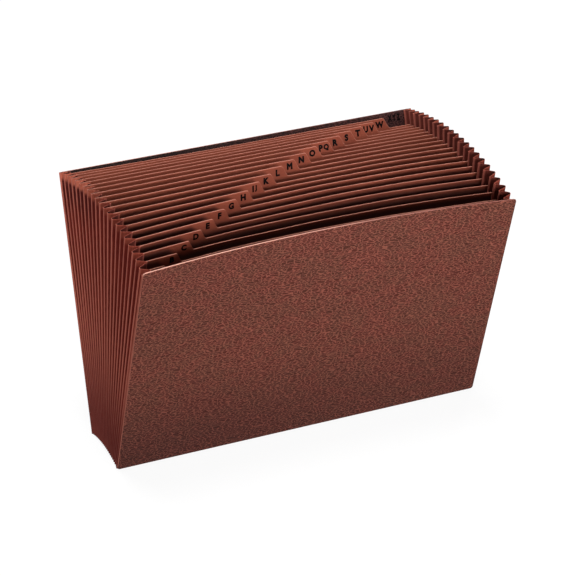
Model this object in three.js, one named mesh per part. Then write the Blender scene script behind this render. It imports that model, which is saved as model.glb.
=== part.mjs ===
import * as THREE from 'three';

// Expanding file, fanned open and standing on the bottom edges of its two covers.
// Millimetres: X runs across the covers, Y from the front cover to the back one, Z up.
// The origin is on the surface it stands on, under the middle of the file.

// Covers: boards a little narrower at the top, with rounded corners
const COVER_WIDTH = 381;
const COVER_NARROWING = 8;
const COVER_HEIGHT = 260;
const COVER_THICKNESS = 1.3;
const COVER_CORNER_RADIUS = 3;

// Fan: how far each cover leans out, and the room between the covers at the floor
const FAN_HALF_ANGLE = THREE.MathUtils.degToRad(17.3);
const BOTTOM_DEPTH = 69.4;

// Bow: how far the top edges lean back at mid width, at the front and further in
const FRONT_BOW = 10;
const MIDDLE_BOW = 28;
const BOW_POWER = 1.6;

// Dividers: one card between each two pockets, step-cut to show its index tab
const DIVIDER_NAMES = [
  'a', 'b', 'c', 'd', 'e', 'f', 'g', 'h', 'ij', 'k',
  'l', 'm', 'n', 'o', 'pq', 'r', 's', 't', 'uv', 'w',
];
const DIVIDER_THICKNESS = 0.5;
const DIVIDER_DROP = 3;
const DIVIDER_FRONT_DROP = 6;
const STEP_DEPTH = 11;
const STEP_RUN = 7.4;
const STEP_LEFT_MARGIN = 28.4;
const STEP_RIGHT_MARGIN = 33;

// Gussets: pleated paper along both sides and the bottom, its folds pointing in
const GUSSET_THICKNESS = 0.4;
const PLEAT_WIDTH = 9.5;
const FLANGE_WIDTH = 5;
const FOLD_OPENING = 0.2;
const GUSSET_FRONT_DROP = 2.5;

// How many pockets behind the front cover sit lower than the rest
const FRONT_DROP_REACH = 8;

// Room left between two sheets that touch
const CLEARANCE = 0.3;

// Fineness of the curved sheets
const SHEET_COLUMNS = 12;
const SHEET_ROWS = 3;
const STEP_COLUMNS = 6;
const CORNER_COLUMNS = 3;
const GUSSET_LEVELS = 4;

const COVER_TOP_WIDTH = COVER_WIDTH - COVER_NARROWING;
const POCKET_COUNT = DIVIDER_NAMES.length + 1;
const POCKET_ANGLE = (2 * FAN_HALF_ANGLE) / POCKET_COUNT;
const FAN_RADIUS = BOTTOM_DEPTH / 2 / Math.sin(FAN_HALF_ANGLE);
const FAN_CENTRE_DROP = FAN_RADIUS * Math.cos(FAN_HALF_ANGLE);
const FOLD_LAND = DIVIDER_THICKNESS + 2 * CLEARANCE + GUSSET_THICKNESS;
const FOLD_TIP = GUSSET_THICKNESS + FOLD_OPENING;
const EDGE_INSET = GUSSET_THICKNESS + CLEARANCE;
const MITRE_GAP = CLEARANCE / Math.SQRT2;

const sheetAngle = (index) => index * POCKET_ANGLE - FAN_HALF_ANGLE;

// Half the file's width at a height along its sheets
function halfWidthAt(height) {
  return (COVER_WIDTH - COVER_NARROWING * (height / COVER_HEIGHT)) / 2;
}

// How far a sheet leans back at x, at a height along it
function bowAt(index, x, height) {
  const place = index / POCKET_COUNT;
  const atTop = (1 - place) * (FRONT_BOW + MIDDLE_BOW * place);
  const across = 1 - (x / halfWidthAt(height)) ** 2;
  return atTop * across * (Math.max(height, 0) / COVER_HEIGHT) ** BOW_POWER;
}

// How much of the front drop a sheet has: all of it next to the front cover
function frontDropShare(index) {
  const behind = Math.max(index - 1, 0) / (FRONT_DROP_REACH - 1);
  return Math.max(1 - behind, 0) ** 1.5;
}

// A point at a turn about the fan's centre line and a distance from it
function fanPoint(x, turn, radius) {
  return new THREE.Vector3(x, radius * Math.sin(turn), radius * Math.cos(turn) - FAN_CENTRE_DROP);
}

// A point on a sheet: across, along and off its plane towards the back
function sheetPoint(index, x, height, offset) {
  const turn = sheetAngle(index);
  const point = fanPoint(x, turn, FAN_RADIUS + height);
  const back = new THREE.Vector3(0, Math.cos(turn), -Math.sin(turn));
  return point.addScaledVector(back, offset + bowAt(index, x, height));
}

function solid(name, points, faces, material) {
  const geometry = new THREE.BufferGeometry().setFromPoints(points);
  geometry.setIndex(faces);
  geometry.computeVertexNormals();
  const mesh = new THREE.Mesh(geometry, material);
  mesh.name = name;
  return mesh;
}

const pushQuad = (faces, a, b, c, d) => faces.push(a, b, c, a, c, d);

// A bowed sheet as a grid of columns and rows, given its two faces' offsets
// and its lower and upper edge at each column
function sheetSolid(name, { index, columns, inset, offsets, lower, upper }, material) {
  const points = [];
  for (const offset of offsets) {
    for (const column of columns) {
      const low = lower(column, offset);
      const high = upper(column);
      for (let row = 0; row <= SHEET_ROWS; row += 1) {
        const height = low + ((high - low) * row) / SHEET_ROWS;
        const x = column * (halfWidthAt(height) - inset);
        points.push(sheetPoint(index, x, height, offset));
      }
    }
  }
  const perColumn = SHEET_ROWS + 1;
  const last = columns.length - 1;
  const front = (column, row) => column * perColumn + row;
  const back = (column, row) => front(column + columns.length, row);
  const faces = [];
  for (let i = 0; i < last; i += 1) {
    for (let j = 0; j < SHEET_ROWS; j += 1) {
      pushQuad(faces, front(i, j), front(i + 1, j), front(i + 1, j + 1), front(i, j + 1));
      pushQuad(faces, back(i, j), back(i, j + 1), back(i + 1, j + 1), back(i + 1, j));
    }
    pushQuad(faces, front(i, 0), back(i, 0), back(i + 1, 0), front(i + 1, 0));
    const top = SHEET_ROWS;
    pushQuad(faces, front(i, top), front(i + 1, top), back(i + 1, top), back(i, top));
  }
  for (let j = 0; j < SHEET_ROWS; j += 1) {
    pushQuad(faces, front(0, j), front(0, j + 1), back(0, j + 1), back(0, j));
    pushQuad(faces, front(last, j), back(last, j), back(last, j + 1), front(last, j + 1));
  }
  return solid(name, points, faces, material);
}

const evenColumns = (count) => Array.from({ length: count + 1 }, (_, i) => (2 * i) / count - 1);

// A cover: its foot is cut level, so that it stands flat
function coverSolid(name, index, offsets, material) {
  const radius = COVER_CORNER_RADIUS;
  const halfWidth = COVER_TOP_WIDTH / 2;
  const cornerTurns = Array.from(
    { length: CORNER_COLUMNS + 1 },
    (_, i) => (i * Math.PI) / 2 / (CORNER_COLUMNS + 1),
  );
  const corner = cornerTurns.map((turn) => 1 - (radius * (1 - Math.sin(turn))) / halfWidth);
  const flat = 1 - radius / halfWidth;
  const middle = evenColumns(SHEET_COLUMNS).map((column) => column * flat);
  const rightCorner = corner.slice(1).concat(1);
  const leftCorner = rightCorner.map((column) => -column).reverse();
  const columns = [...leftCorner, ...middle, ...rightCorner];
  const rounding = (column) => {
    const past = Math.max(0, (Math.abs(column) - flat) * halfWidth);
    return radius - Math.sqrt(Math.max(0, radius ** 2 - past ** 2));
  };
  const foot = (offset) => offset * Math.tan(sheetAngle(index));
  const lower = (column, offset) => foot(offset) + rounding(column);
  const upper = (column) => COVER_HEIGHT - rounding(column);
  return sheetSolid(name, { index, columns, inset: 0, offsets, lower, upper }, material);
}

// A divider: high up to its index tab, then a rounded step down to the right
function dividerSolid(name, index, material) {
  const halfWidth = COVER_TOP_WIDTH / 2 - EDGE_INSET;
  const stepRoom = COVER_TOP_WIDTH - STEP_LEFT_MARGIN - STEP_RIGHT_MARGIN;
  const stepPitch = stepRoom / (DIVIDER_NAMES.length - 1);
  const stepMiddle = STEP_LEFT_MARGIN - COVER_TOP_WIDTH / 2 + (index - 1) * stepPitch;
  const stepStart = stepMiddle - STEP_RUN / 2;
  const stepColumns = Array.from(
    { length: STEP_COLUMNS + 1 },
    (_, i) => (stepStart + (STEP_RUN * i) / STEP_COLUMNS) / halfWidth,
  );
  const nearStep = STEP_RUN / halfWidth;
  const stepCentre = stepMiddle / halfWidth;
  const away = evenColumns(SHEET_COLUMNS).filter(
    (column) => Math.abs(column) === 1 || Math.abs(column - stepCentre) > nearStep,
  );
  const columns = [...away, ...stepColumns].sort((a, b) => a - b);
  const highEdge = COVER_HEIGHT - DIVIDER_DROP - DIVIDER_FRONT_DROP * frontDropShare(index);
  const upper = (column) => {
    const along = (column * halfWidth - stepStart) / STEP_RUN;
    return highEdge - STEP_DEPTH * THREE.MathUtils.smoothstep(along, 0, 1);
  };
  const lower = () => EDGE_INSET;
  const offsets = [-DIVIDER_THICKNESS / 2, DIVIDER_THICKNESS / 2];
  return sheetSolid(name, { index, columns, inset: EDGE_INSET, offsets, lower, upper }, material);
}

// How far a pleat reaches in, where the pockets are this far apart
function pleatDepth(radius) {
  const sideways = (radius * POCKET_ANGLE - FOLD_LAND - FOLD_TIP) / 2;
  return Math.sqrt(PLEAT_WIDTH ** 2 - sideways ** 2);
}

// The middle line of the pleated paper, from the flange glued inside one cover to
// the other: each point has a turn, a shift along the arc and a distance in
function pleatLine(depth) {
  const rim = GUSSET_THICKNESS / 2;
  const glued = CLEARANCE + rim;
  const foldedBack = glued + GUSSET_THICKNESS + FOLD_OPENING;
  const front = sheetAngle(0);
  const back = sheetAngle(POCKET_COUNT);
  const line = [
    { turn: front, shift: glued, inward: FLANGE_WIDTH, cover: 0 },
    { turn: front, shift: glued, inward: rim },
    { turn: front, shift: foldedBack, inward: rim },
  ];
  for (let pocket = 0; pocket < POCKET_COUNT; pocket += 1) {
    const middle = sheetAngle(pocket + 0.5);
    line.push({ turn: middle, shift: -FOLD_TIP / 2, inward: rim + depth });
    line.push({ turn: middle, shift: FOLD_TIP / 2, inward: rim + depth });
    if (pocket + 1 < POCKET_COUNT) {
      const ridge = sheetAngle(pocket + 1);
      line.push({ turn: ridge, shift: -FOLD_LAND / 2, inward: rim });
      line.push({ turn: ridge, shift: FOLD_LAND / 2, inward: rim });
    }
  }
  line.push(
    { turn: back, shift: -foldedBack, inward: rim },
    { turn: back, shift: -glued, inward: rim },
    { turn: back, shift: -glued, inward: FLANGE_WIDTH, cover: POCKET_COUNT },
  );
  return line;
}

// Both faces of a sheet of paper whose middle line is given in a plane
function thicken(line, thickness) {
  const normals = line.slice(1).map((point, i) => {
    const along = point.clone().sub(line[i]).normalize();
    return new THREE.Vector2(-along.y, along.x);
  });
  const shifts = line.map((_, i) => {
    const before = normals[Math.max(i - 1, 0)];
    const after = normals[Math.min(i, normals.length - 1)];
    const sum = before.clone().add(after);
    return sum.multiplyScalar(thickness / 2 / (1 + before.dot(after)));
  });
  const faceOn = (side) => line.map((point, i) => point.clone().addScaledVector(shifts[i], side));
  return [faceOn(1), faceOn(-1)];
}

// A side gusset's section at a radius, as arc length and distance in
function sideSection(radius) {
  const height = radius - FAN_RADIUS;
  const line = pleatLine(pleatDepth(radius)).map(({ turn, shift, inward, cover }) => {
    const x = halfWidthAt(height) - inward;
    const bow = cover === undefined ? 0 : bowAt(cover, x, height);
    return new THREE.Vector2(turn * radius + shift + bow, inward);
  });
  return thicken(line, GUSSET_THICKNESS);
}

// The closed skin of a pleated sheet: rings run down one face and back up the other,
// and both faces split their quads the same way, so that the paper keeps its thickness
function pleatedSolid(name, rings, flip, material) {
  const ringSize = rings[0].length;
  const half = ringSize / 2;
  const faces = [];
  const quad = (a, b, c, d) => (flip ? pushQuad(faces, d, c, b, a) : pushQuad(faces, a, b, c, d));
  for (let ring = 0; ring + 1 < rings.length; ring += 1) {
    const here = ring * ringSize;
    const there = here + ringSize;
    for (let i = 0; i < half; i += 1) {
      quad(here + i, here + i + 1, there + i + 1, there + i);
    }
    for (let i = half; i < ringSize; i += 1) {
      const next = (i + 1) % ringSize;
      quad(here + next, there + next, there + i, here + i);
    }
  }
  const lastRing = (rings.length - 1) * ringSize;
  for (let i = 0; i + 1 < half; i += 1) {
    const opposite = ringSize - 1 - i;
    quad(opposite, opposite - 1, i + 1, i);
    quad(lastRing + i, lastRing + i + 1, lastRing + opposite - 1, lastRing + opposite);
  }
  return solid(name, rings.flat(), faces, material);
}

const joinFaces = ([outer, inner]) => [...outer, ...inner.toReversed()];

// A side gusset: pleats that run up the file, mitred at the foot
function sideGussetSolid(name, side, material) {
  const footPoints = joinFaces(sideSection(FAN_RADIUS));
  const ringAt = (share) => footPoints.map((footPoint, i) => {
    const index = (footPoint.x / FAN_RADIUS + FAN_HALF_ANGLE) / POCKET_ANGLE;
    const low = footPoint.y + MITRE_GAP;
    const high = COVER_HEIGHT - GUSSET_FRONT_DROP * frontDropShare(index);
    const radius = FAN_RADIUS + low + (high - low) * share;
    const point = joinFaces(sideSection(radius))[i];
    const x = side * (halfWidthAt(radius - FAN_RADIUS) - point.y);
    return fanPoint(x, point.x / radius, radius);
  });
  const rings = Array.from({ length: GUSSET_LEVELS + 1 }, (_, level) => ringAt(level / GUSSET_LEVELS));
  return pleatedSolid(name, rings, side > 0, material);
}

// The bottom gusset: pleats that run across the file, mitred at both ends
function bottomGussetSolid(name, material) {
  const line = pleatLine(pleatDepth(FAN_RADIUS)).map(({ turn, shift, inward }) => {
    const radius = FAN_RADIUS + inward;
    return new THREE.Vector2(0, radius).rotateAround(new THREE.Vector2(), -turn - shift / radius);
  });
  const section = joinFaces(thicken(line, GUSSET_THICKNESS));
  const ringAt = (side) => section.map((point) => {
    const height = point.length() - FAN_RADIUS;
    const x = side * (halfWidthAt(height) - height - MITRE_GAP);
    return new THREE.Vector3(x, point.x, point.y - FAN_CENTRE_DROP);
  });
  return pleatedSolid(name, [ringAt(-1), ringAt(1)], true, material);
}

const coverBoard = new THREE.MeshStandardMaterial({ color: 0x6e4138, roughness: 0.6, metalness: 0 });
const gussetPaper = new THREE.MeshStandardMaterial({ color: 0x823f33, roughness: 0.8, metalness: 0 });
const dividerCard = new THREE.MeshStandardMaterial({ color: 0x96594a, roughness: 0.8, metalness: 0 });

const file = new THREE.Group();
file.add(coverSolid('front_cover', 0, [-COVER_THICKNESS, 0], coverBoard.clone()));
file.add(coverSolid('back_cover', POCKET_COUNT, [0, COVER_THICKNESS], coverBoard.clone()));
file.add(sideGussetSolid('left_gusset', -1, gussetPaper.clone()));
file.add(sideGussetSolid('right_gusset', 1, gussetPaper.clone()));
file.add(bottomGussetSolid('bottom_gusset', gussetPaper.clone()));
DIVIDER_NAMES.forEach((letters, i) => {
  file.add(dividerSolid(`divider_${letters}`, i + 1, dividerCard.clone()));
});

export default file;
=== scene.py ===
import math

import bmesh
import bpy
import numpy as np
from mathutils import Matrix, Vector


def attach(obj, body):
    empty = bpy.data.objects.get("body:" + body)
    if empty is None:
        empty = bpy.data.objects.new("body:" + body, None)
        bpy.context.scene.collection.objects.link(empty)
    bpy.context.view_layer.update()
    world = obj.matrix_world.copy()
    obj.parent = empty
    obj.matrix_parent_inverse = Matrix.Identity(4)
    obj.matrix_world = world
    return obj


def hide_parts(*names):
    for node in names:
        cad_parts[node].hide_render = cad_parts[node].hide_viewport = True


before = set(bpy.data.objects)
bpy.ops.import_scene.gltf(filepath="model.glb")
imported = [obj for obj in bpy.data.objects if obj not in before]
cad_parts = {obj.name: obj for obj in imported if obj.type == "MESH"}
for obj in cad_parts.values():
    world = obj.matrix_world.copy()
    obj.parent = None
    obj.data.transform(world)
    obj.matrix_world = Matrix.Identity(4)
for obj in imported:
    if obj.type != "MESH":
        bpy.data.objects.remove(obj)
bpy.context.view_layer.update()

# Sizes in metres, as the file is made
MM = 0.001
COVER_WIDTH = 381 * MM
COVER_NARROWING = 8 * MM
COVER_HEIGHT = 260 * MM
COVER_THICKNESS = 1.3 * MM
COVER_CORNER_RADIUS = 3 * MM
COVER_EDGE_ROUND = 0.35 * MM
FAN_HALF_ANGLE = math.radians(17.3)
BOTTOM_DEPTH = 69.4 * MM
FRONT_BOW = 10 * MM
MIDDLE_BOW = 28 * MM
BOW_POWER = 1.6
LABELS = "A B C D E F G H IJ K L M N O PQ R S T UV W XYZ".split()
CARD_THICKNESS = 0.6 * MM
CARD_EDGE_ROUND = 0.15 * MM
CARD_DROP = 3 * MM
CARD_FRONT_DROP = 6 * MM
STEP_DEPTH = 11 * MM
STEP_RUN = 7.4 * MM
STEP_LEFT_MARGIN = 29.4 * MM
TAB_WIDTH = 26 * MM
STEP_RIGHT_MARGIN = 32.6 * MM
TAB_SHADE_FADE = 16.25 * MM
CARD_SHADING = 4 * MM
PAPER_THICKNESS = 0.4 * MM
PLEAT_WIDTH = 9.5 * MM
FLANGE_WIDTH = 5 * MM
GUSSET_FRONT_DROP = 2.5 * MM
FRONT_DROP_REACH = 8
CLEARANCE = 0.3 * MM
CARD_LEFT_SAG = 3.3 * MM
CARD_LEFT_LIFT = 2.2 * MM
CARD_MIDDLE_SAG = 2.8 * MM
CARD_WAVE_LEAST = 0.2 * MM
CARD_WAVE_MOST = 0.5 * MM
LEFT_TUCK = 2.5 * MM
LEFT_TUCK_SKEW = 0.6
LEFT_TOP_DROP = 1.5 * MM
LETTER_HEIGHT = 6.8 * MM
LETTER_CENTRE_DROP = 6.1 * MM
LETTER_THICKNESS = 0.04 * MM
LETTER_SINK = 0.01 * MM
LETTER_BOLDNESS = 0.065
LETTER_NARROWING = 0.9
LETTER_GAP = 0.12
LABEL_ROOM = 2.05
LETTER_FROM_STEP = -7.4 * MM
COVER_LABEL_X = 167.6 * MM
COVER_LABEL_DROP = 6.5 * MM
HALF_PAPER = PAPER_THICKNESS / 2
FOLD_OPENING = 0.2 * MM
COVER_LIP = 0.5 * MM
RIDGE_ROUND_LEAST = 0.45 * MM
RIDGE_ROUND_MOST = 1.5 * MM
FOOT_RIDGE_ROUND = 0.5 * MM
TIP_ROUND_LEAST = 0.25 * MM
TIP_ROUND_MOST = 0.7 * MM
PLEAT_UNEVENNESS = 0.5 * MM
TIP_SWAY = 0.4 * MM
TIP_TUCK_LEAST = -0.2 * MM
TIP_TUCK_MOST = 0.8 * MM
RIDGE_SWAY = 0.3 * MM
RIDGE_TUCK_MOST = 0.5 * MM
PANEL_BULGE = 0.2 * MM

# How finely the covers, cards and pleats are divided
COVER_COLUMNS = 81
COVER_ROWS = 49
CARD_COLUMNS = 49
STEP_COLUMNS = 17
GUSSET_LEVELS = 30
FOLD_TURNS = (-66, -44, -22, 0, 22, 44, 66)

# Cards counted from the front: where they sag most at the left and at mid width, over
# how many cards that fades, and from which card on they stand higher at the left
LEFT_SAG_CARD = 5.5
LEFT_SAG_FADE = 3.2
MIDDLE_SAG_CARD = 8
MIDDLE_SAG_FADE = 5
LEFT_LIFT_CARD = 7
LEFT_LIFT_FADE = 7

# How much of a half pleat's width its ridge and its tip round off
RIDGE_SHARE = 0.3
TIP_SHARE = 0.14

# Where the rear pleats begin, as a share of the way back, over how much their painted light and
# painted dark slits fade in, and the least painted light at the tops of the grooves
REAR_START = 0.45
REAR_FADE = 0.3
LEAST_LIT = 0.35

# How white the floor looks to the camera, its own tone, and the light from all round
FLOOR_GLOW = 0.93
FLOOR_TONE = 0.06
AMBIENT = 0.11

# Starting numbers of the random draws
CARD_SEED = 200
GUSSET_SEED = 11

# Columns of a section's points: fold, shift, inward, sway, tuck, flange
SHIFT = slice(1, 5)
INWARD = slice(5, 9)
SWAY, TUCK, FLANGE = 9, 10, 11

POCKETS = len(LABELS)
POCKET_ANGLE = 2 * FAN_HALF_ANGLE / POCKETS
FAN_RADIUS = BOTTOM_DEPTH / 2 / math.sin(FAN_HALF_ANGLE)
FAN_CENTRE_DROP = FAN_RADIUS * math.cos(FAN_HALF_ANGLE)
COVER_TOP_WIDTH = COVER_WIDTH - COVER_NARROWING
EDGE_INSET = PAPER_THICKNESS + CLEARANCE
STEP_PITCH = (COVER_TOP_WIDTH - STEP_LEFT_MARGIN - STEP_RIGHT_MARGIN) / (POCKETS - 2)


def sheet_angle(index):
    return index * POCKET_ANGLE - FAN_HALF_ANGLE


def half_width(height):
    return (COVER_WIDTH - COVER_NARROWING * height / COVER_HEIGHT) / 2


def bow(index, x, height):
    place = index / POCKETS
    at_top = (1 - place) * (FRONT_BOW + MIDDLE_BOW * place)
    across = 1 - (x / half_width(height)) ** 2
    return at_top * across * (np.maximum(height, 0) / COVER_HEIGHT) ** BOW_POWER


def front_drop_share(index):
    behind = np.maximum(index - 1, 0) / (FRONT_DROP_REACH - 1)
    return np.maximum(1 - behind, 0) ** 1.5


def left_sag(index):
    """How far each left pleat has sagged, as a share: most a third of the way back."""
    return np.sin(math.pi * (np.clip(index, 0, POCKETS) / POCKETS) ** LEFT_TUCK_SKEW)


def side_tuck(side, index, height):
    """How far the pleats of a side are drawn in from the covers' edges."""
    return LEFT_TUCK * left_sag(index) * height / COVER_HEIGHT * (side < 0)


def card_sag(index, x):
    """How far a card's top has dropped at x: the front third to the left, the middle
    ones at mid width, and the cards behind them stand a little high at the left."""
    across = 2 * x / COVER_TOP_WIDTH
    left_share = math.exp(-((index - LEFT_SAG_CARD) / LEFT_SAG_FADE) ** 2)
    middle_share = math.exp(-((index - MIDDLE_SAG_CARD) / MIDDLE_SAG_FADE) ** 2)
    lifted = np.clip((index - LEFT_LIFT_CARD) / LEFT_LIFT_FADE, 0, 1)
    left = CARD_LEFT_SAG * left_share - CARD_LEFT_LIFT * lifted
    middle = CARD_MIDDLE_SAG * middle_share - left / 8
    return left * ((1 - across) / 2) ** 3 + middle * (1 - across ** 2) * (1 - across)


def wave(index, x, height):
    """The slight unevenness of one card, none at its foot and sides."""
    draw = np.random.default_rng(CARD_SEED + index)
    across = 1 - (x / half_width(height)) ** 2
    rise = (np.maximum(height, 0) / COVER_HEIGHT) ** 2
    total = 0
    for waves in (1.5, 2.7, 4.4):
        phase = draw.uniform(0, 2 * math.pi)
        size = draw.uniform(CARD_WAVE_LEAST, CARD_WAVE_MOST) / waves
        total = total + size * np.sin(waves * 2 * math.pi * x / COVER_WIDTH + phase)
    return total * 2 * across * rise


def fan_points(x, turn, radius):
    return np.stack(
        [x + 0 * turn, radius * np.sin(turn), radius * np.cos(turn) - FAN_CENTRE_DROP], axis=-1
    )


def sheet_points(index, x, height, offset):
    """Points on a bowed sheet: across it, along it and off its plane towards the back."""
    turn = sheet_angle(index)
    x, height, offset = np.broadcast_arrays(x, height, offset)
    points = fan_points(x, np.full(x.shape, turn), FAN_RADIUS + height)
    back = np.array([0, math.cos(turn), -math.sin(turn)])
    return points + (offset + bow(index, x, height))[..., None] * back


def add_piece(name, points, faces, finish, stands_for=(), layers=None, sharp=35):
    """A shown piece of the file, with its per-point layers for the finish."""
    mesh = bpy.data.meshes.new(name)
    mesh.from_pydata(points.tolist(), [], faces)
    for layer, values in (layers or {}).items():
        kind = "FLOAT_VECTOR" if values.ndim == 2 else "FLOAT"
        attribute = mesh.attributes.new(layer, kind, "POINT")
        attribute.data.foreach_set("vector" if values.ndim == 2 else "value", values.ravel())
    mesh.shade_smooth()
    mesh.set_sharp_from_angle(angle=math.radians(sharp))
    mesh.materials.append(finish)
    piece = bpy.data.objects.new(name, mesh)
    bpy.context.scene.collection.objects.link(piece)
    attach(piece, "root")
    if stands_for:
        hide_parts(*stands_for)


class Shade:
    """A value that varies over a surface, with arithmetic on it."""

    def __init__(self, nodes, socket):
        self.nodes = nodes
        self.socket = socket

    def math(self, operation, first, second):
        return self.nodes.node("Math", {"operation": operation}, {0: first, 1: second})

    def __add__(self, other):
        return self.math("ADD", self, other)

    def __sub__(self, other):
        return self.math("SUBTRACT", self, other)

    def __rsub__(self, other):
        return self.math("SUBTRACT", other, self)

    def __mul__(self, other):
        return self.math("MULTIPLY", self, other)

    __radd__ = __add__
    __rmul__ = __mul__


class Nodes:
    """The nodes of one material or of the surroundings."""

    def __init__(self, tree):
        self.tree = tree

    def node(self, kind, settings, values, output=0):
        node = self.tree.nodes.new("ShaderNode" + kind)
        for name, value in settings.items():
            setattr(node, name, value)
        for socket, value in values.items():
            self.plug(node.inputs[socket], value)
        return Shade(self, node.outputs[output])

    def plug(self, socket, value):
        if isinstance(value, Shade):
            self.tree.links.new(value.socket, socket)
        else:
            socket.default_value = value

    def layer(self, name, output="Fac"):
        return self.node("Attribute", {"attribute_name": name}, {}, output)

    def noise(self, vector, scale, detail=2.0, roughness=0.5, distortion=0.0):
        stretched = self.node("VectorMath", {"operation": "MULTIPLY"}, {0: vector, 1: scale})
        values = {
            "Vector": stretched,
            "Scale": 1.0,
            "Detail": detail,
            "Roughness": roughness,
            "Distortion": distortion,
        }
        return self.node("TexNoise", {}, values)

    def cells(self, vector, scale, waviness):
        """How far a point is from the nearest crease between leather cells."""
        stretched = self.node("VectorMath", {"operation": "MULTIPLY"}, {0: vector, 1: scale})
        drift = self.node("TexNoise", {}, {"Vector": stretched, "Scale": 0.3}, "Color")
        values = {0: drift, 1: (waviness, waviness, waviness), 2: stretched}
        moved = self.node("VectorMath", {"operation": "MULTIPLY_ADD"}, values)
        settings = {"feature": "DISTANCE_TO_EDGE", "voronoi_dimensions": "2D"}
        return self.node("TexVoronoi", settings, {"Vector": moved, "Scale": 1.0})

    def between(self, value, low, high, start=0.0, end=1.0):
        settings = {"clamp": True, "interpolation_type": "SMOOTHSTEP"}
        values = {"Value": value, "From Min": low, "From Max": high, "To Min": start, "To Max": end}
        return self.node("MapRange", settings, values)

    def mix(self, share, first, second):
        return self.node("Mix", {"data_type": "RGBA"}, {0: share, 6: first, 7: second}, 2)

    def bump(self, height, distance, strength=1.0):
        values = {"Height": height, "Distance": distance, "Strength": strength}
        return self.node("Bump", {}, values)

    def looked_at(self):
        """One where the camera looks, straight, in a gloss or through something."""
        ways = ("Is Camera Ray", "Is Glossy Ray", "Is Transmission Ray")
        straight, gloss, through = (self.node("LightPath", {}, {}, way) for way in ways)
        either = straight.math("MAXIMUM", straight, gloss)
        return either.math("MAXIMUM", either, through)


class Finish(Nodes):
    """One material of the file."""

    def __init__(self, name, specular):
        self.material = bpy.data.materials.new(name)
        self.material.use_nodes = True
        super().__init__(self.material.node_tree)
        self.surface = self.tree.nodes["Principled BSDF"]
        self.surface.inputs["Specular IOR Level"].default_value = specular

    def finish(self, colour, roughness, normal):
        self.plug(self.surface.inputs["Base Color"], colour)
        self.plug(self.surface.inputs["Roughness"], roughness)
        self.plug(self.surface.inputs["Normal"], normal)
        return self.material


def tone(red, green, blue):
    """A colour written as it looks on screen, from 0 to 255."""
    def linear(level):
        share = level / 255
        return share / 12.92 if share <= 0.04045 else ((share + 0.055) / 1.055) ** 2.4
    return (linear(red), linear(green), linear(blue), 1.0)


def per_mm(x, y=None, z=None):
    """How often a pattern repeats when it measures this many millimetres."""
    return (1 / (x * MM), 1 / ((y or x) * MM), 1 / (z or 1))


def cover_finish():
    """Pressed board with a fine leather grain, dark inside; its pale top edge is a painted
    highlight, and painted light and shade lie on its sides, its foot and the left of its inside.
    """
    finish = Finish("cover_board", 0.15)
    sheet = finish.layer("sheet", "Vector")
    inner = finish.layer("inner")
    rim = finish.layer("rim")
    border = finish.layer("border")
    across = finish.node("SeparateXYZ", {}, {"Vector": sheet}, "X")
    height = finish.node("SeparateXYZ", {}, {"Vector": sheet}, "Y")
    creases = finish.between(finish.cells(sheet, per_mm(5.0, 1.9), 3.6), 0.2, 0.03)
    pores = finish.noise(sheet, per_mm(1.3, 0.8), 2.0, 0.6, 0.3)
    patches = finish.noise(sheet, per_mm(46, 38), 3.0, 0.55)
    mottle = finish.noise(sheet, per_mm(13, 9), 2.0, 0.6)
    grain = finish.between(creases * 0.3 + pores * 0.7, 0.32, 0.78)
    warm = finish.mix(grain, tone(73, 30, 23), tone(153, 86, 71))
    cool = finish.mix(grain, tone(68, 33, 25), tone(145, 86, 69))
    outside = finish.mix(finish.between(patches * 0.5 + mottle * 0.5, 0.42, 0.58), cool, warm)
    # rightwards places the painted light and shade across the cover, from its left to its right
    rightwards = finish.between(across, -0.12, 0.16)
    # Painted shade: the outside grows darker towards its foot, more so at its left
    foot = finish.between(height, 130 * MM, 0.0) * (0.8 - rightwards * 0.4)
    outside = finish.mix(foot, outside, finish.mix(grain, tone(44, 17, 13), tone(112, 57, 48)))
    # Painted shadow on the inside at its left; painted light on the left side edge and painted
    # shade on the right one
    shadowed = finish.mix(grain, tone(15, 5, 4), tone(40, 17, 15))
    inside = finish.mix(rightwards, shadowed, finish.mix(grain, tone(32, 13, 12), tone(74, 38, 35)))
    side_edge_light_and_shade = finish.mix(rightwards, tone(176, 104, 88), tone(52, 24, 20))
    body = finish.mix(border, finish.mix(inner, outside, inside), side_edge_light_and_shade)
    # Painted highlight along the top rim, paler at its left
    left_edge = finish.mix(pores, tone(142, 97, 83), tone(186, 137, 123))
    right_edge = finish.mix(pores, tone(88, 47, 39), tone(122, 73, 62))
    edge = finish.mix(rightwards, left_edge, right_edge)
    colour = finish.mix(rim, body, edge)
    roughness = finish.between(grain, 0.0, 1.0, 0.75, 0.62)
    relief = finish.bump(grain, 0.3 * MM, 0.8)
    return finish.finish(colour, roughness, relief)


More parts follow.
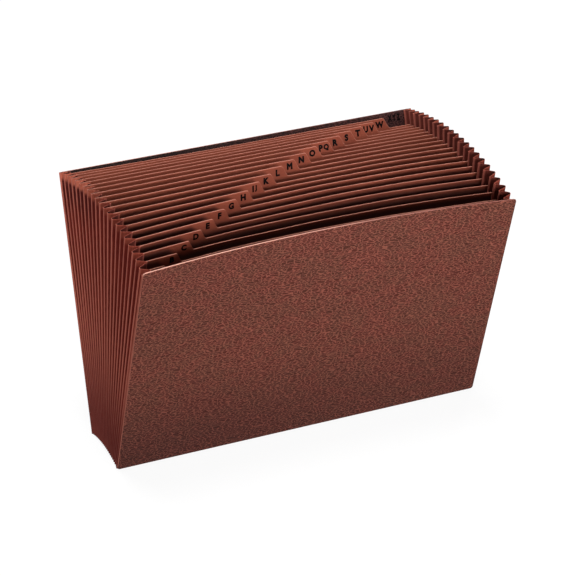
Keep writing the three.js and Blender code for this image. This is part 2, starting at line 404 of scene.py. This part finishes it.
def card_finish():
    """Smooth index card with a paler top edge, partly cut edge and partly painted highlight, and
    painted shade below its top that comes sooner on cards nearer the front.
    """
    finish = Finish("divider_card", 0.12)
    sheet = finish.layer("sheet", "Vector")
    drop = finish.layer("drop")
    fibres = finish.noise(sheet, per_mm(5, 0.8), 3.0, 0.6)
    clouds = finish.noise(sheet, per_mm(60, 24, 0.37), 2.0, 0.5)
    specks = finish.noise(sheet, per_mm(1.0), 2.0, 0.5)
    tint = finish.between(clouds * 0.6 + fibres * 0.4, 0.3, 0.7)
    # Painted shade: a lit and a shaded copy of the card's colour, mixed by the shade layer
    lit = finish.mix(tint, tone(121, 58, 43), tone(138, 70, 52))
    shaded_tone = finish.mix(tint, tone(57, 32, 28), tone(71, 40, 34))
    card = finish.mix(finish.between(finish.layer("shade"), 1.2 * MM, 9 * MM), lit, shaded_tone)
    # Pale band along the top edge: partly the paler cut edge, partly painted highlight
    edge = finish.mix(specks, tone(130, 77, 63), tone(166, 110, 94))
    worn_and_highlit = finish.between(drop + specks * (0.6 * MM), 1.0 * MM, 0.4 * MM)
    colour = finish.mix(worn_and_highlit, card, edge)
    relief = finish.bump(fibres + specks, 0.06 * MM, 0.5)
    return finish.finish(colour, finish.between(fibres, 0.3, 0.7, 0.85, 0.75), relief)


def gusset_finish():
    """Strong folded paper, pale on its folds, partly rubbed wear and partly painted highlight, and
    deep red painted shade between them.
    """
    finish = Finish("gusset_paper", 0.12)
    sheet = finish.layer("sheet", "Vector")
    depth = finish.layer("depth")
    drop = finish.layer("drop")
    outer = finish.layer("outer")
    fibres = finish.noise(sheet, per_mm(1.2, 7), 3.0, 0.6)
    clouds = finish.noise(sheet, per_mm(30, 60), 2.0, 0.5)
    rubbed_and_highlit = finish.noise(sheet, per_mm(3, 9), 3.0, 0.65)
    tint = finish.between(clouds * 0.5 + fibres * 0.5, 0.35, 0.65)
    height = finish.node("SeparateXYZ", {}, {"Vector": sheet}, "Y")
    # Painted shade in the grooves, with painted dark slits below the tops of the rear left pleats
    slit_shade = finish.between(drop, 45 * MM, 12 * MM)
    shaded_tone = finish.mix(tint, tone(84, 20, 14), tone(104, 31, 23))
    shaded_tone = finish.mix(slit_shade * finish.layer("slit_shade"), shaded_tone, tone(58, 7, 5))
    # Painted light at the tops of the grooves, where the top light falls in
    high = finish.mix(tint, tone(146, 72, 54), tone(176, 96, 76))
    valley = finish.mix(finish.between(drop, 9 * MM, 4 * MM) * finish.layer("lit"), shaded_tone, high)
    # The ridges: pale, partly rubbed wear and partly painted highlight, and darker towards their
    # foot
    ridge = finish.mix(rubbed_and_highlit, tone(148, 75, 60), tone(186, 107, 91))
    ridge = finish.mix(finish.between(height, 130 * MM, 15 * MM), ridge, tone(106, 47, 41))
    on_ridge = finish.between(depth + rubbed_and_highlit * (0.8 * MM), 1.7 * MM, 0.9 * MM)
    outside = finish.mix(on_ridge, valley, ridge)
    # Inside: painted highlight on the pleat tips and painted shade in the corners by the ridges
    panel = finish.mix(tint, tone(64, 22, 16), tone(80, 32, 24))
    tip = finish.mix(rubbed_and_highlit, tone(96, 44, 35), tone(128, 67, 56))
    on_tip = finish.between(depth - rubbed_and_highlit * (1.0 * MM), 7.0 * MM, 8.6 * MM)
    inside = finish.mix(on_tip, panel, tip)
    past_corner = finish.between(depth, 1.2 * MM, 3.5 * MM)
    inside = finish.mix(past_corner, tone(40, 14, 10), inside)
    colour = finish.mix(outer, inside, outside)
    relief = finish.bump(fibres, 0.1 * MM, 0.5)
    return finish.finish(colour, finish.between(fibres, 0.3, 0.7, 0.85, 0.72), relief)


def ink_finish():
    finish = Finish("index_ink", 0.05)
    sheet = finish.layer("sheet", "Vector")
    coverage = finish.noise(sheet, per_mm(0.7), 2.0, 0.5)
    colour = finish.mix(coverage, tone(2, 1, 1), tone(8, 5, 5))
    return finish.finish(colour, coverage * 0.1 + 0.5, finish.bump(coverage, 0.02 * MM, 0.3))


def loop_around(columns, rows):
    """Grid places round a sheet's rim, seen anticlockwise from the front."""
    return (
        [(i, 0) for i in range(columns)]
        + [(columns, j) for j in range(rows)]
        + [(i, rows) for i in range(columns, 0, -1)]
        + [(0, j) for j in range(rows, 0, -1)]
    )


def sheet_mesh(columns, rows, outline, place, profile):
    """A sheet as a front grid, a rounded rim and a back grid. outline gives each grid
    place and inset its x and height, and profile lists the rim's insets and offsets."""
    across = len(columns) - 1
    up = len(rows) - 1
    u, v = np.meshgrid(columns, rows, indexing="ij")
    rim_loop = loop_around(across, up)
    flat_loop = [i * (up + 1) + j for i, j in rim_loop]
    points, coords, faces, loops, rim = [], [], [], [], []
    total = 0
    for step, (inset, offset) in enumerate(profile):
        x, height = outline(u, v, inset)
        ring = place(x, height, offset).reshape(-1, 3)
        coordinate = np.stack([x.ravel(), height.ravel(), 0 * x.ravel()], axis=-1)
        whole = step in (0, len(profile) - 1)
        if not whole:
            ring = ring[flat_loop]
            coordinate = coordinate[flat_loop]
        points.append(ring)
        coords.append(coordinate)
        rim.append(np.full(len(ring), 0.0 if whole else 1.0))
        loops.append([total + k for k in (flat_loop if whole else range(len(flat_loop)))])
        if whole:
            for i in range(across):
                for j in range(up):
                    corners = [(i, j), (i + 1, j), (i + 1, j + 1), (i, j + 1)]
                    quad = [total + a * (up + 1) + b for a, b in corners]
                    faces.append(quad if step == 0 else quad[::-1])
        total += len(ring)
    count = len(flat_loop)
    for a, b in zip(loops, loops[1:]):
        for k in range(count):
            n = (k + 1) % count
            faces.append([a[k], b[k], b[n], a[n]])
    return np.concatenate(points), faces, np.concatenate(coords), np.concatenate(rim)


def rim_profile(front, back, rounding):
    """Insets and offsets over a sheet's edge, from its front face to its back one."""
    slant = rounding * (1 - math.sqrt(0.5))
    return [
        (rounding, front), (slant, front + slant), (0, front + rounding),
        (0, back - rounding), (slant, back - slant), (rounding, back),
    ]


def make_cover(name, index, front, back, node, inner_is_front):
    """A cover, with its columns closer together towards its sides and round its corners."""
    widest_turn = 0.4 * math.pi
    turns = np.linspace(-widest_turn, widest_turn, COVER_COLUMNS)
    spread = np.sin(turns) / math.sin(widest_turn)
    corner = 1 - COVER_CORNER_RADIUS / (COVER_TOP_WIDTH / 2) * np.array([0, 0.1, 0.3, 0.6, 1])
    inner_columns = spread[np.abs(spread) < corner.min()]
    columns = np.unique(np.concatenate([inner_columns, corner, -corner]).round(6))
    rows = np.linspace(0, 1, COVER_ROWS)

    def outline(u, v, inset):
        radius = COVER_CORNER_RADIUS - inset
        flat = COVER_TOP_WIDTH / 2 - COVER_CORNER_RADIUS
        past = np.maximum(0, np.abs(u) * COVER_TOP_WIDTH / 2 - flat) * radius / COVER_CORNER_RADIUS
        rounding = radius - np.sqrt(np.maximum(0, radius ** 2 - past ** 2))
        low = inset + rounding
        high = COVER_HEIGHT - inset - rounding
        height = low + (high - low) * v
        return u * (half_width(height) - inset), height

    def place(x, height, offset):
        points = sheet_points(index, x, height, offset)
        points[..., 2] = np.maximum(points[..., 2], 0)
        return points

    profile = rim_profile(front, back, COVER_EDGE_ROUND)
    points, faces, coords, rim = sheet_mesh(columns, rows, outline, place, profile)
    coords[:, 2] = index
    # The top rim carries the painted highlight, and the whole border carries the painted light and
    # shade of the side edges
    border = rim.copy()
    rim *= coords[:, 1] > COVER_HEIGHT - COVER_CORNER_RADIUS
    grid = len(columns) * len(rows)
    inner = np.zeros(len(points))
    if inner_is_front:
        inner[:grid] = 1
    else:
        inner[-grid:] = 1
    layers = {"sheet": coords, "rim": rim, "border": border, "inner": inner}
    add_piece(name, points, faces, COVER, (node,), layers)


def step_middle(index):
    return STEP_LEFT_MARGIN - COVER_TOP_WIDTH / 2 + (index - 1) * STEP_PITCH


def card_top(index):
    return COVER_HEIGHT - CARD_DROP - CARD_FRONT_DROP * front_drop_share(index)


def step_curve(along):
    """The step's height from 1 to 0: a rounded shoulder, a steep side and a rounded foot."""
    along = np.clip(along, 0, 1)
    return 1 - along * along * (3 - 2 * along)


def make_card(index):
    """An index card, with its columns closest together at its step."""
    label = LABELS[index - 1].lower()
    middle = step_middle(index)
    half = COVER_TOP_WIDTH / 2 - EDGE_INSET
    step_columns = (middle + STEP_RUN * np.linspace(-0.5, 0.5, STEP_COLUMNS)) / half
    even = np.linspace(-1, 1, CARD_COLUMNS)
    near = np.abs(even - middle / half) < 0.75 * STEP_RUN / half
    away = even[~near | (np.abs(even) == 1)]
    columns = np.unique(np.concatenate([away, step_columns]).round(6))
    rows = np.concatenate([np.linspace(0, 0.9, 13), [0.94, 0.965, 0.98, 0.99, 0.995, 1]])
    top = card_top(index)

    def top_at(u):
        along = (u * half - middle) / STEP_RUN + 0.5
        return top - card_sag(index, u * half) - STEP_DEPTH * (1 - step_curve(along))

    def outline(u, v, inset):
        low = EDGE_INSET + inset
        high = top_at(u) - inset
        height = low + (high - low) * v
        x = u * (half_width(height) - EDGE_INSET - inset)
        left_edge = half_width(height) - EDGE_INSET - inset - side_tuck(-1, index, height)
        return np.maximum(x, -left_edge), height

    def place(x, height, offset):
        return sheet_points(index, x, height, offset + wave(index, x, height))

    profile = rim_profile(-CARD_THICKNESS / 2, CARD_THICKNESS / 2, CARD_EDGE_ROUND)
    points, faces, coords, rim = sheet_mesh(columns, rows, outline, place, profile)
    x = coords[:, 0]
    drop = top_at(x / half) - coords[:, 1]
    along = (x - middle) / STEP_RUN + 0.5
    # The shade layer places the painted shade: it deepens below the top edge, sooner on cards
    # nearer the front and lower down beside a tab
    near_tab = 1 - step_curve((x - middle + TAB_WIDTH) / TAB_SHADE_FADE)
    forward = CARD_SHADING * (1 - 2 * index / POCKETS)
    shade = drop + forward - STEP_DEPTH * near_tab * step_curve(along)
    coords[:, 2] = index
    name = "card_" + label
    node = "divider_" + label
    layers = {"sheet": coords, "drop": drop, "shade": shade}
    add_piece(name, points, faces, CARD, (node,), layers)


class Section:
    """The middle line of the pleated paper. Each point has the index of the fold that
    it belongs to, a shift along the arc and a distance in. Both are a fixed part and
    shares of the ridge's radius, the tip's radius and the pleat's depth. Then come how
    far the fold sways and is tucked in, and whether the point is on a glued flange."""

    def __init__(self):
        self.points = []

    def add(self, fold, shift=(0, 0, 0, 0), inward=(0, 0, 0, 0), sway=0, tuck=0, flange=0):
        self.points.append(np.array([fold, *shift, *inward, sway, tuck, flange], dtype=float))

    def arc(self, fold, tip, turns, sway, tuck):
        """A rounded fold: a ridge on the outside, or the tip of a pleat inside."""
        for turn in turns:
            around, out = math.sin(turn), math.cos(turn)
            if tip:
                self.add(fold, (0, 0, around, 0), (HALF_PAPER, 0, out - 1, 1), sway, tuck)
            else:
                self.add(fold, (0, around, 0, 0), (HALF_PAPER, 1 - out, 0, 0), sway, tuck)


def pleat_section(draw):
    """The folds of one side, from the flange on one cover to the one on the other."""
    section = Section()
    glued = CLEARANCE + HALF_PAPER
    folded = glued + PAPER_THICKNESS + FOLD_OPENING
    turns = np.radians(FOLD_TURNS)
    ends = []
    for edge, way in ((0, 1), (POCKETS, -1)):
        part = Section()
        for share in (1, 0.6, 0.3, 0.1):
            part.add(edge, (way * glued, 0, 0, 0), (FLANGE_WIDTH * share, 0, 0, 0), 0, 0, 1)
        part.add(edge, (way * (glued + folded) / 2, 0, 0, 0), (-COVER_LIP, 0, 0, 0), 0, 0, 1)
        part.add(edge, (way * folded, 0, 0, 0), (HALF_PAPER, 0, 0, 0), 0, 0, 1)
        ends.append(part.points)
    pieces = [ends[0]]
    for pocket in range(POCKETS):
        sway = draw.normal(0, TIP_SWAY)
        tuck = draw.uniform(TIP_TUCK_LEAST, TIP_TUCK_MOST)
        tip = Section()
        tip.arc(pocket + 0.5, True, turns, sway, tuck)
        pieces.append(tip.points)
        if pocket + 1 < POCKETS:
            sway = draw.normal(0, RIDGE_SWAY)
            tuck = draw.uniform(0, RIDGE_TUCK_MOST)
            ridge = Section()
            ridge.arc(pocket + 1, False, turns, sway, tuck)
            pieces.append(ridge.points)
    pieces.append(ends[1][::-1])
    line = list(pieces[0])
    for piece in pieces[1:]:
        bulge = draw.normal(PANEL_BULGE, PANEL_BULGE)
        first, last = line[-1], piece[0]
        for share in (0.15, 0.32, 0.5, 0.68, 0.85):
            between = first + (last - first) * share
            between[SWAY] += bulge * math.sin(math.pi * share)
            between[FLANGE] = 0
            line.append(between)
        line += piece
    return np.array(line)


def make_gusset(name, side, node):
    """One pleated side of folded paper, mitred at its foot."""
    draw = np.random.default_rng(GUSSET_SEED + side)
    section = pleat_section(draw)
    fold = section[None, :, 0]
    turn = sheet_angle(fold)
    sway, tuck, flange = (section[None, :, column] for column in (SWAY, TUCK, FLANGE))
    shares = (np.linspace(0, 1, GUSSET_LEVELS) ** 0.9)[:, None]
    foot_sizes = np.array([1, FOOT_RIDGE_ROUND, TIP_ROUND_LEAST, PLEAT_WIDTH])
    foot_in = section[:, INWARD] @ foot_sizes
    low = np.maximum(foot_in, 0)[None, :] + CLEARANCE / math.sqrt(2)
    sag = left_sag(fold) * (side < 0)
    uneven = draw.uniform(0, PLEAT_UNEVENNESS, POCKETS * 2 + 1)
    nearest = np.rint(fold * 2).astype(int)
    top = COVER_HEIGHT - GUSSET_FRONT_DROP * front_drop_share(fold) - LEFT_TOP_DROP * sag
    top = top - uneven[nearest] * (1 - flange)
    height = low + (top - low) * shares
    radius = FAN_RADIUS + height
    half_pitch = radius * POCKET_ANGLE / 2
    ridge = np.clip(RIDGE_SHARE * half_pitch, RIDGE_ROUND_LEAST, RIDGE_ROUND_MOST)
    tip = np.clip(TIP_SHARE * half_pitch, TIP_ROUND_LEAST, TIP_ROUND_MOST)
    depth = np.sqrt(PLEAT_WIDTH ** 2 - np.maximum(half_pitch - ridge - tip, 0) ** 2)
    sizes = np.stack([np.ones_like(radius), ridge, tip, depth])
    rise = np.clip(height / COVER_HEIGHT, 0, 1) ** 1.5
    shift = np.einsum("slp,ps->lp", sizes, section[:, SHIFT]) + sway * rise
    inward = np.einsum("slp,ps->lp", sizes, section[:, INWARD]) + tuck * rise
    inward = inward + side_tuck(side, fold, height) * (1 - flange)
    front_flange = flange * (fold == 0)
    shift = shift + front_flange * bow(0, half_width(height) - inward, height)
    angle = turn + shift / radius
    along_turn = np.gradient(angle, axis=1) * radius
    along_in = np.gradient(inward, axis=1)
    length = np.hypot(along_turn, along_in)
    travelled = np.cumsum(length, axis=1)
    rear = 1 - step_curve((fold / POCKETS - REAR_START) / REAR_FADE)
    kinds = ("points", "sheet", "depth", "drop", "outer", "slit_shade", "lit")
    layers = {kind: [] for kind in kinds}
    for face in (1, -1):
        face_angle = angle - face * HALF_PAPER * along_in / length / radius
        face_in = inward + face * HALF_PAPER * along_turn / length
        x = side * (half_width(height) - face_in)
        layers["points"].append(fan_points(x, face_angle, radius))
        apart = np.full(height.shape, side * 10 + face * 2.0)
        layers["sheet"].append(np.stack([travelled, height, apart], axis=-1))
        layers["depth"].append(inward - side_tuck(side, fold, height))
        layers["drop"].append(top - height)
        layers["outer"].append(np.full(height.shape, float(face < 0)))
        # Masks of the painted shade and light: the painted dark slits on the rear left pleats, and
        # how much painted light the tops of the grooves get
        layers["slit_shade"].append(rear * (side < 0) + 0 * height)
        layers["lit"].append(np.maximum(rear, LEAST_LIT) + 0 * height)
    joined = {}
    for kind, (front, back) in layers.items():
        joined[kind] = np.concatenate([front, back[:, ::-1]], axis=1)
    count = section.shape[0]
    ring = 2 * count
    faces = []
    for level in range(GUSSET_LEVELS - 1):
        here, there = level * ring, (level + 1) * ring
        for i in range(ring):
            n = (i + 1) % ring
            faces.append([here + i, here + n, there + n, there + i])
    top_ring = (GUSSET_LEVELS - 1) * ring
    for i in range(count - 1):
        far = ring - 1 - i
        faces.append([far, far - 1, i + 1, i])
        faces.append([top_ring + i, top_ring + i + 1, top_ring + far - 1, top_ring + far])
    if side > 0:
        faces = [face[::-1] for face in faces]
    points = joined.pop("points").reshape(-1, 3)
    values = {"sheet": joined.pop("sheet").reshape(-1, 3)}
    for kind, layer in joined.items():
        values[kind] = layer.ravel()
    add_piece(name, points, faces, PAPER, (node,), values, 50)


def letter_shape(letter):
    """A bold capital as a thin closed mesh: its points, one unit high, and its faces."""
    curve = bpy.data.curves.new("letter", "FONT")
    curve.body = letter
    curve.extrude = 0.01
    curve.bevel_depth = LETTER_BOLDNESS
    curve.bevel_resolution = 0
    curve.resolution_u = 4
    carrier = bpy.data.objects.new("letter", curve)
    bpy.context.scene.collection.objects.link(carrier)
    bpy.context.view_layer.update()
    evaluated = carrier.evaluated_get(bpy.context.evaluated_depsgraph_get())
    mesh = bpy.data.meshes.new_from_object(evaluated)
    shape = bmesh.new()
    shape.from_mesh(mesh)
    bmesh.ops.remove_doubles(shape, verts=shape.verts, dist=1e-5)
    points = np.array([vertex.co[:] for vertex in shape.verts])
    place = {vertex: number for number, vertex in enumerate(shape.verts)}
    faces = [[place[vertex] for vertex in face.verts] for face in shape.faces]
    shape.free()
    bpy.data.objects.remove(carrier)
    bpy.data.curves.remove(curve)
    bpy.data.meshes.remove(mesh)
    points[:, :2] -= points[:, :2].min(0)
    points[:, :2] /= points[:, 1].max()
    return points, faces


def label_shape(label):
    """The letters of one tab side by side, with their middle on the origin."""
    points, faces, total, right = [], [], 0, 0
    for letter in label:
        outline, letter_faces = letter_shape(letter)
        outline[:, 0] = outline[:, 0] * LETTER_NARROWING + right
        points.append(outline)
        faces += [[total + k for k in face] for face in letter_faces]
        total += len(outline)
        right = outline[:, 0].max() + LETTER_GAP
    points = np.concatenate(points)
    points[:, :2] -= (points[:, :2].max(0) + points[:, :2].min(0)) / 2
    points[:, 0] *= min(1, LABEL_ROOM / np.ptp(points[:, 0]))
    return points, faces


def make_letters():
    """The index letters, printed on the cards and on the back cover's inside."""
    all_points, all_faces, all_coords = [], [], []
    total = 0
    for number, label in enumerate(LABELS, start=1):
        flat, faces = label_shape(label)
        on_cover = number == POCKETS
        middle = COVER_LABEL_X if on_cover else step_middle(number) + LETTER_FROM_STEP
        card_level = card_top(number) - card_sag(number, middle) - LETTER_CENTRE_DROP
        level = COVER_HEIGHT - COVER_LABEL_DROP if on_cover else card_level
        x = middle + flat[:, 0] * LETTER_HEIGHT
        height = level + flat[:, 1] * LETTER_HEIGHT
        surface = 0 if on_cover else wave(number, x, height) - CARD_THICKNESS / 2
        raised = np.where(flat[:, 2] > 0, LETTER_THICKNESS, -LETTER_SINK)
        all_points.append(sheet_points(number, x, height, surface - raised))
        all_coords.append(np.stack([x, height, np.full(len(x), float(number))], axis=-1))
        all_faces += [[total + k for k in face] for face in faces]
        total += len(x)
    layers = {"sheet": np.concatenate(all_coords)}
    points = np.concatenate(all_points)
    add_piece("index_letters", points, all_faces, INK, (), layers)


def foot_finish():
    """The same folded paper on the foot, whose solid stays as it is."""
    finish = Finish("foot_paper", 0.12)
    where = finish.node("TexCoord", {}, {}, "Object")
    fibres = finish.noise(where, per_mm(8, 1.2, 1.2 * MM), 3.0, 0.6)
    clouds = finish.noise(where, per_mm(50, 14, 14 * MM), 2.0, 0.5)
    tint = finish.between(clouds * 0.5 + fibres * 0.5, 0.35, 0.65)
    colour = finish.mix(tint, tone(112, 46, 34), tone(146, 72, 57))
    relief = finish.bump(fibres, 0.1 * MM, 0.5)
    return finish.finish(colour, finish.between(fibres, 0.3, 0.7, 0.85, 0.72), relief)


def make_floor():
    """A floor that is white to the camera and sends little light back up."""
    half = 6.0
    corners = [(-half, -half, 0), (half, -half, 0), (half, half, 0), (-half, half, 0)]
    mesh = bpy.data.meshes.new("floor")
    mesh.from_pydata(corners, [], [(0, 1, 2, 3)])
    floor = bpy.data.objects.new("floor", mesh)
    bpy.context.scene.collection.objects.link(floor)
    finish = Finish("floor", 0.0)
    glow = finish.mix(finish.looked_at(), tone(0, 0, 0), (FLOOR_GLOW, FLOOR_GLOW, FLOOR_GLOW, 1))
    finish.plug(finish.surface.inputs["Emission Color"], glow)
    finish.surface.inputs["Emission Strength"].default_value = 1.0
    finish.surface.inputs["Base Color"].default_value = (FLOOR_TONE, FLOOR_TONE, FLOOR_TONE, 1)
    finish.surface.inputs["Roughness"].default_value = 1.0
    mesh.materials.append(finish.material)


def make_world():
    """Soft light from all round, and white where the camera sees past the floor."""
    world = bpy.data.worlds.new("studio")
    bpy.context.scene.world = world
    world.use_nodes = True
    world.node_tree.nodes.clear()
    nodes = Nodes(world.node_tree)
    soft = nodes.node("Background", {}, {"Color": (1, 1, 1, 1), "Strength": AMBIENT})
    white = nodes.node("Background", {}, {"Color": (1, 1, 1, 1), "Strength": 1.0})
    light = nodes.node("MixShader", {}, {0: nodes.looked_at(), 1: soft, 2: white})
    output = nodes.tree.nodes.new("ShaderNodeOutputWorld")
    nodes.plug(output.inputs["Surface"], light)


def add_lamp(name, place, aim, size, watts):
    lamp = bpy.data.lights.new(name, "AREA")
    lamp.shape = "DISK"
    lamp.size = size
    lamp.energy = watts
    holder = bpy.data.objects.new(name, lamp)
    bpy.context.scene.collection.objects.link(holder)
    holder.location = place
    holder.rotation_euler = (Vector(aim) - Vector(place)).to_track_quat("-Z", "Y").to_euler()
    holder.visible_camera = False


def add_camera():
    """The viewing angle worked out from the file's corners and pleat tips."""
    place = Vector((-0.8306, -1.8893, 1.2533))
    yaw, pitch, roll = (math.radians(angle) for angle in (23.804, 28.39, 0.095))
    level = math.cos(pitch)
    forward = Vector((math.sin(yaw) * level, math.cos(yaw) * level, -math.sin(pitch)))
    right = Vector((math.cos(yaw), -math.sin(yaw), 0))
    up = right.cross(forward)
    turned_right = right * math.cos(roll) + up * math.sin(roll)
    turned_up = up * math.cos(roll) - right * math.sin(roll)
    lens = bpy.data.cameras.new("camera")
    lens.sensor_width = 36
    lens.lens = 151.75
    camera = bpy.data.objects.new("camera", lens)
    bpy.context.scene.collection.objects.link(camera)
    axes = Matrix((turned_right, turned_up, -forward)).transposed()
    camera.matrix_world = Matrix.Translation(place) @ axes.to_4x4()
    bpy.context.scene.camera = camera


COVER = cover_finish()
CARD = card_finish()
PAPER = gusset_finish()
INK = ink_finish()

make_cover("front_board", 0, -COVER_THICKNESS, 0, "front_cover", False)
make_cover("back_board", POCKETS, 0, COVER_THICKNESS, "back_cover", True)
make_gusset("left_pleats", -1, "left_gusset")
make_gusset("right_pleats", 1, "right_gusset")
for index in range(1, POCKETS):
    make_card(index)
make_letters()

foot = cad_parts["bottom_gusset"]
foot.data.materials.clear()
foot.data.materials.append(foot_finish())

make_floor()
make_world()
add_lamp("top_light", (-0.1, 0.0, 1.9), (0, 0, 0.15), 0.8, 64)
add_lamp("front_light", (0.12, -0.7, 0.34), (0, 0, 0.18), 0.25, 3.0)
add_lamp("right_light", (1.3, -1.3, 0.36), (0, 0, 0.12), 0.4, 9)
add_lamp("left_light", (-2.0, -1.3, 0.32), (0, 0, 0.12), 0.5, 25)
add_lamp("back_light", (1.7, 1.9, 0.6), (0, 0, 0.12), 0.6, 45)
add_camera()
bpy.context.scene.view_settings.view_transform = "Standard"
